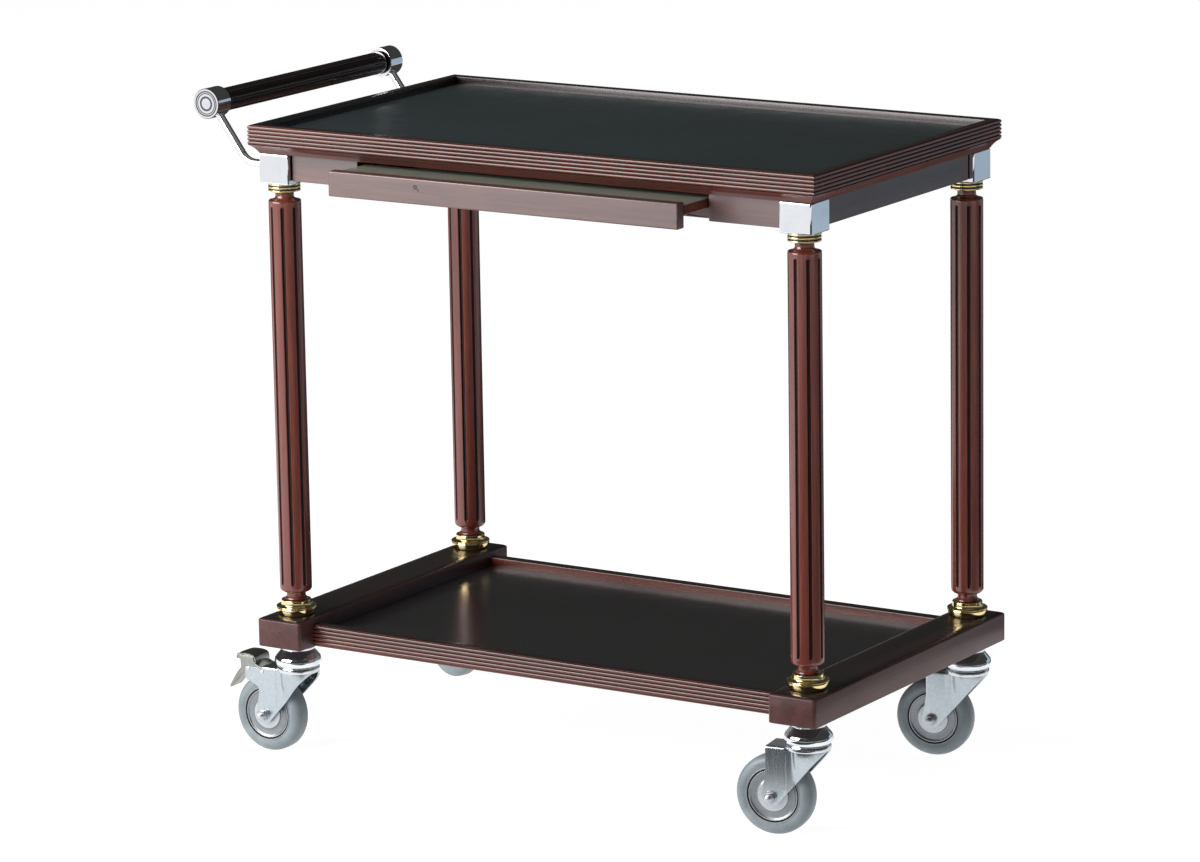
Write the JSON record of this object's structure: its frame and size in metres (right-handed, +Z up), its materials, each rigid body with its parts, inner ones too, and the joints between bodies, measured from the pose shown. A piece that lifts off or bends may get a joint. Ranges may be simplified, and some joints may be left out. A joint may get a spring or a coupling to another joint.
{
  "type": "food service trolley",
  "caption": "Wooden serving trolley with a raised-edge tray, lower shelf, pull-out slide, fluted columns with brass collars, end push handle and swivel casters with foot brakes.",
  "frame": {"origin": "on the floor, under the middle of the trolley's bounding box with the slide as stored", "axes": "+X along the length, away from the push handle; +Y across, away from the side the slide pulls out of; +Z up"},
  "size_m": [0.9176, 0.5303, 0.8523],
  "materials": {
    "stained_wood": "dark red-brown stain under gloss lacquer",
    "dark_laminate": "satin slate-grey laminate",
    "chrome": "polished",
    "brass": "polished",
    "zinc_steel": "bright zinc plate",
    "grey_rubber": "matt, non-marking grey"
  },
  "bodies": {
    "frame": {"apron_back": "stained_wood", "apron_front": "stained_wood", "apron_left": "stained_wood", "apron_right": "stained_wood", "base_collar_back_left": "brass", "base_collar_back_right": "brass", "base_collar_front_left": "brass", "base_collar_front_right": "brass", "beam_left": "stained_wood", "beam_right": "stained_wood", "caster_head_back_left": "chrome", "caster_head_back_right": "chrome", "caster_head_front_left": "chrome", "caster_head_front_right": "chrome", "column_back_left": "stained_wood", "column_back_right": "stained_wood", "column_front_left": "stained_wood", "column_front_right": "stained_wood", "corner_block_back_left": "chrome", "corner_block_back_right": "chrome", "corner_block_front_left": "chrome", "corner_block_front_right": "chrome", "handle_arm_back": "chrome", "handle_arm_front": "chrome", "handle_cap_back": "chrome", "handle_cap_front": "chrome", "handle_grip": "stained_wood", "shelf_panel": "dark_laminate", "shelf_rim_back": "stained_wood", "shelf_rim_front": "stained_wood", "slide_guide": "stained_wood", "top_collar_back_left": "brass", "top_collar_back_right": "brass", "top_collar_front_left": "brass", "top_collar_front_right": "brass", "tray_panel": "dark_laminate", "tray_rim_back": "stained_wood", "tray_rim_front": "stained_wood", "tray_rim_left": "stained_wood", "tray_rim_right": "stained_wood"},
    "slide": {"slide_board": "dark_laminate", "slide_fascia": "stained_wood"},
    "fork_front_left": {"caster_fork_front_left": "zinc_steel", "caster_axle_front_left": "zinc_steel"},
    "wheel_front_left": {"caster_tyre_front_left": "grey_rubber", "caster_hub_front_left": "zinc_steel"},
    "brake_front_left": {"brake_pedal_front_left": "zinc_steel"},
    "fork_front_right": {"caster_fork_front_right": "zinc_steel", "caster_axle_front_right": "zinc_steel"},
    "wheel_front_right": {"caster_tyre_front_right": "grey_rubber", "caster_hub_front_right": "zinc_steel"},
    "fork_back_left": {"caster_fork_back_left": "zinc_steel", "caster_axle_back_left": "zinc_steel"},
    "wheel_back_left": {"caster_tyre_back_left": "grey_rubber", "caster_hub_back_left": "zinc_steel"},
    "brake_back_left": {"brake_pedal_back_left": "zinc_steel"},
    "fork_back_right": {"caster_fork_back_right": "zinc_steel", "caster_axle_back_right": "zinc_steel"},
    "wheel_back_right": {"caster_tyre_back_right": "grey_rubber", "caster_hub_back_right": "zinc_steel"}
  },
  "joints": [
    {"name": "slide_pull", "type": "slide", "parent": "frame", "child": "slide", "axis": [0, -1, 0], "range_m": [-0.067, 0.19]},
    {"name": "swivel_front_left", "type": "hinge", "parent": "frame", "child": "fork_front_left", "pos_m": [-0.3261, -0.1831, 0.118], "axis": [0, 0, 1], "continuous": true},
    {"name": "spin_front_left", "type": "hinge", "parent": "fork_front_left", "child": "wheel_front_left", "pos_m": [-0.3681, -0.1831, 0.05], "axis": [0, -1, 0], "continuous": true},
    {"name": "brake_front_left", "type": "hinge", "parent": "fork_front_left", "child": "brake_front_left", "pos_m": [-0.3695, -0.1831, 0.106], "axis": [0, -1, 0], "range_deg": [0, 10]},
    {"name": "swivel_front_right", "type": "hinge", "parent": "frame", "child": "fork_front_right", "pos_m": [0.4259, -0.1831, 0.118], "axis": [0, 0, 1], "continuous": true},
    {"name": "spin_front_right", "type": "hinge", "parent": "fork_front_right", "child": "wheel_front_right", "pos_m": [0.38436, -0.18931, 0.05], "axis": [0.1478, -0.989, 0], "continuous": true},
    {"name": "swivel_back_left", "type": "hinge", "parent": "frame", "child": "fork_back_left", "pos_m": [-0.3261, 0.2169, 0.118], "axis": [0, 0, 1], "continuous": true},
    {"name": "spin_back_left", "type": "hinge", "parent": "fork_back_left", "child": "wheel_back_left", "pos_m": [-0.36531, 0.23195, 0.05], "axis": [-0.3584, -0.9336, 0], "continuous": true},
    {"name": "brake_back_left", "type": "hinge", "parent": "fork_back_left", "child": "brake_back_left", "pos_m": [-0.36662, 0.23245, 0.106], "axis": [-0.3584, -0.9336, 0], "range_deg": [0, 10]},
    {"name": "swivel_back_right", "type": "hinge", "parent": "frame", "child": "fork_back_right", "pos_m": [0.4259, 0.2169, 0.118], "axis": [0, 0, 1], "continuous": true},
    {"name": "spin_back_right", "type": "hinge", "parent": "fork_back_right", "child": "wheel_back_right", "pos_m": [0.38467, 0.20889, 0.05], "axis": [0.1908, -0.9816, 0], "continuous": true}
  ]
}
